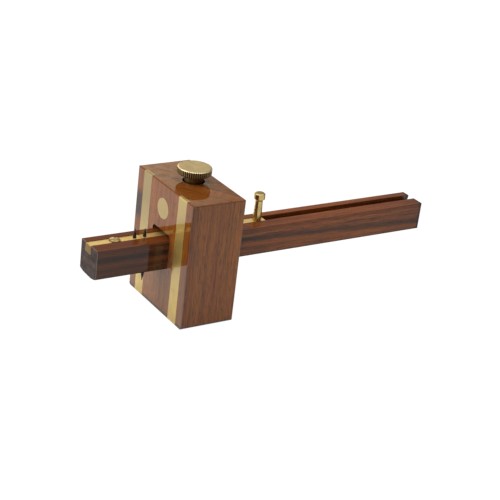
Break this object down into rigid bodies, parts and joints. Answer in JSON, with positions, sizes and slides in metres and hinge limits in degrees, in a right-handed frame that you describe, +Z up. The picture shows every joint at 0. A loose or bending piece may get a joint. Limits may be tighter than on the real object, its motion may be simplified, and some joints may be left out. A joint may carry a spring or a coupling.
{
  "type": "mortise gauge",
  "caption": "Wooden mortise gauge: a brass-faced fence slides on a slotted stem, a knurled thumb screw clamps it, and a brass pull slide sets the spacing of the marking pins.",
  "frame": {"origin": "centre of the fence's foot, the flat face that the gauge stands on", "axes": "+X along the stem to its tail, so the marking pins are at -X; +Y across the fence; +Z up, from the fence's foot to the thumb screw"},
  "size_m": [0.19, 0.0526, 0.0706],
  "materials": {
    "fence_wood": "clear gloss lacquer over straight-grained brown rosewood",
    "stem_wood": "clear gloss lacquer over dark streaked rosewood",
    "satin_brass": "flush sanded satin brass",
    "drawn_brass": "drawn brass bar, lightly brushed along its length",
    "knurled_brass": "turned satin brass with a straight knurl",
    "polished_brass": "turned and polished brass",
    "dark_steel": "ground tool steel, blackened"
  },
  "bodies": {
    "fence": {"fence_block": "fence_wood", "near_wear_strip": "satin_brass", "far_wear_strip": "satin_brass", "barrel_nut": "satin_brass"},
    "pin_slide": {"sliding_bar": "drawn_brass", "moving_pin": "dark_steel", "pull_knob": "polished_brass"},
    "stem": {"stem": "stem_wood", "fixed_plate": "drawn_brass", "plate_screw": "drawn_brass", "fixed_pin": "dark_steel", "single_pin": "dark_steel"},
    "clamp_shoe": {"pressure_shoe": "satin_brass"},
    "thumb_screw": {"thumb_screw": "knurled_brass"}
  },
  "joints": [
    {"name": "fence_travel", "type": "slide", "parent": "fence", "child": "pin_slide", "axis": [1, 0, 0], "range_m": [-0.0235, 0.0072]},
    {"name": "pin_spread", "type": "slide", "parent": "pin_slide", "child": "stem", "axis": [-1, 0, 0], "range_m": [0, 0.0938]},
    {"name": "clamp_lift", "type": "slide", "parent": "fence", "child": "clamp_shoe", "axis": [0, 0, 1], "range_m": [0, 0.001]},
    {"name": "screw_turn", "type": "hinge", "parent": "clamp_shoe", "child": "thumb_screw", "pos_m": [0.002, 0.0017, 0.0637], "axis": [0, 0, 1], "range_deg": [0, 360]}
  ],
  "couplings": [
    {"joint": "screw_turn", "follows": "clamp_lift", "rad_per_m": 6283.2}
  ]
}
